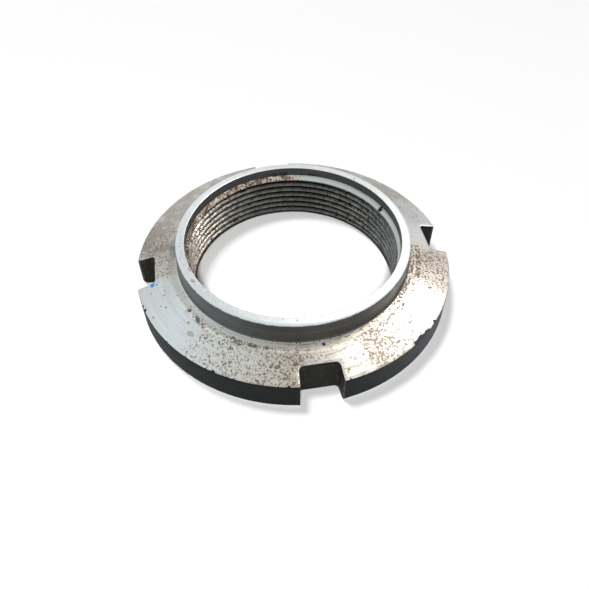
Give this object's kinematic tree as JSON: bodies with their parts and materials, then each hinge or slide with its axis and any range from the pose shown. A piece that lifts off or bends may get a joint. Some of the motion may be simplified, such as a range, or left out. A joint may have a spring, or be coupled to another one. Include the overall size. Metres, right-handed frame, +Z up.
{
  "type": "round castle nut",
  "caption": "Round steel slotted nut with a conical flange, square-cut spanner slots in the rim, a raised collar and a fine internal thread.",
  "frame": {"origin": "centre of the flat underside, on the thread axis", "axes": "+Z up along the thread axis towards the collar; one slot lies on each of +X, +Y, -X and -Y"},
  "size_m": [0.0882, 0.0882, 0.018],
  "materials": {
    "steel": "turned bright with light rust speckle, rim and slots dark"
  },
  "bodies": {
    "root": {"castle_nut": "steel"}
  },
  "joints": []
}
